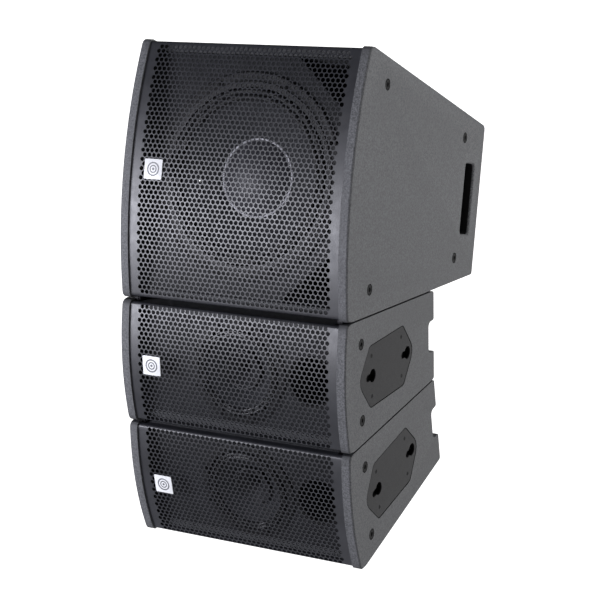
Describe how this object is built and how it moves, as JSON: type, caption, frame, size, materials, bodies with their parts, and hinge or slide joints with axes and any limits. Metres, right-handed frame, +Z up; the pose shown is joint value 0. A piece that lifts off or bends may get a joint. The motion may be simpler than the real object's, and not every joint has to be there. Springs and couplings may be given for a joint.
{
  "type": "line array speaker",
  "caption": "Curved hanging column of three wedge cabinets behind perforated grilles, hinged together, with carrying slots and side keyhole plates.",
  "frame": {"origin": "middle of the outer face of the bass cabinet's top panel, where the column hangs", "axes": "+X the listener's right, -Y the front that faces the listeners, +Z up"},
  "size_m": [0.48, 0.6403, 0.9715],
  "materials": {
    "cabinet_paint": "fine-grained dark grey paint on plywood",
    "inner_black": "black paint on plywood",
    "grille_steel": "satin dark grey powder coat on perforated steel",
    "badge_plate": "white printed plate with a plain grey device",
    "driver_frame": "satin black",
    "magnet": "black ferrite and steel",
    "cone": "coated dark grey paper with a rubber edge",
    "dust_cap": "coated dark grey paper with a paler glue ring",
    "horn": "satin dark",
    "port_plastic": "matt black",
    "input_plastic": "matt black",
    "rigging_steel": "satin dark grey powder coat",
    "pin_steel": "bright zinc"
  },
  "bodies": {
    "sub_cabinet": {"sub_side_left": "cabinet_paint", "sub_side_right": "cabinet_paint", "sub_top_panel": "cabinet_paint", "sub_bottom_panel": "cabinet_paint", "sub_rear_panel": "cabinet_paint", "sub_baffle": "cabinet_paint", "sub_port_board_upper": "inner_black", "sub_port_board_lower": "inner_black", "sub_handle_box": "inner_black", "sub_grille": "grille_steel", "sub_badge": "badge_plate", "sub_woofer_frame": "driver_frame", "sub_woofer_magnet": "magnet", "sub_input_plate": "input_plastic", "sub_fly_frame_left": "rigging_steel", "sub_fly_frame_right": "rigging_steel", "sub_splay_pin_left": "pin_steel", "sub_splay_pin_right": "pin_steel"},
    "mid_cabinet": {"mid_side_left": "cabinet_paint", "mid_side_right": "cabinet_paint", "mid_top_panel": "cabinet_paint", "mid_bottom_panel": "cabinet_paint", "mid_rear_panel": "cabinet_paint", "mid_baffle": "cabinet_paint", "mid_grille": "grille_steel", "mid_badge": "badge_plate", "mid_driver_frame": "driver_frame", "mid_driver_magnet": "magnet", "mid_hf_horn": "horn", "mid_port_tube": "port_plastic", "mid_keyhole_plate_left": "rigging_steel", "mid_keyhole_plate_right": "rigging_steel", "mid_carry_bar": "rigging_steel", "mid_input_plate": "input_plastic", "mid_rig_frame_left": "rigging_steel", "mid_rig_frame_right": "rigging_steel", "mid_splay_pin_left": "pin_steel", "mid_splay_pin_right": "pin_steel"},
    "low_cabinet": {"low_side_left": "cabinet_paint", "low_side_right": "cabinet_paint", "low_top_panel": "cabinet_paint", "low_bottom_panel": "cabinet_paint", "low_rear_panel": "cabinet_paint", "low_baffle": "cabinet_paint", "low_grille": "grille_steel", "low_badge": "badge_plate", "low_driver_frame": "driver_frame", "low_driver_magnet": "magnet", "low_hf_horn": "horn", "low_port_tube": "port_plastic", "low_keyhole_plate_left": "rigging_steel", "low_keyhole_plate_right": "rigging_steel", "low_carry_bar": "rigging_steel", "low_input_plate": "input_plastic", "low_rig_frame_left": "rigging_steel", "low_rig_frame_right": "rigging_steel"},
    "sub_cone": {"sub_woofer_cone": "cone", "sub_dust_cap": "dust_cap"},
    "mid_cone": {"mid_driver_cone": "cone"},
    "low_cone": {"low_driver_cone": "cone"}
  },
  "joints": [
    {"name": "mid_splay", "type": "hinge", "parent": "sub_cabinet", "child": "mid_cabinet", "pos_m": [0, -0.3401, -0.39142], "axis": [1, 0, 0], "range_deg": [-10, 0]},
    {"name": "low_splay", "type": "hinge", "parent": "mid_cabinet", "child": "low_cabinet", "pos_m": [0, -0.31986, -0.63561], "axis": [1, 0, 0], "range_deg": [-10, 0]},
    {"name": "sub_cone_travel", "type": "slide", "parent": "sub_cabinet", "child": "sub_cone", "axis": [0, 0.9875, -0.1575], "range_m": [-0.006, 0.006], "stiffness_N_per_m": 6000},
    {"name": "mid_cone_travel", "type": "slide", "parent": "mid_cabinet", "child": "mid_cone", "axis": [0, 0.9966, 0.0826], "range_m": [-0.004, 0.004], "stiffness_N_per_m": 4000},
    {"name": "low_cone_travel", "type": "slide", "parent": "low_cabinet", "child": "low_cone", "axis": [0, 0.9694, 0.2456], "range_m": [-0.004, 0.004], "stiffness_N_per_m": 4000}
  ]
}
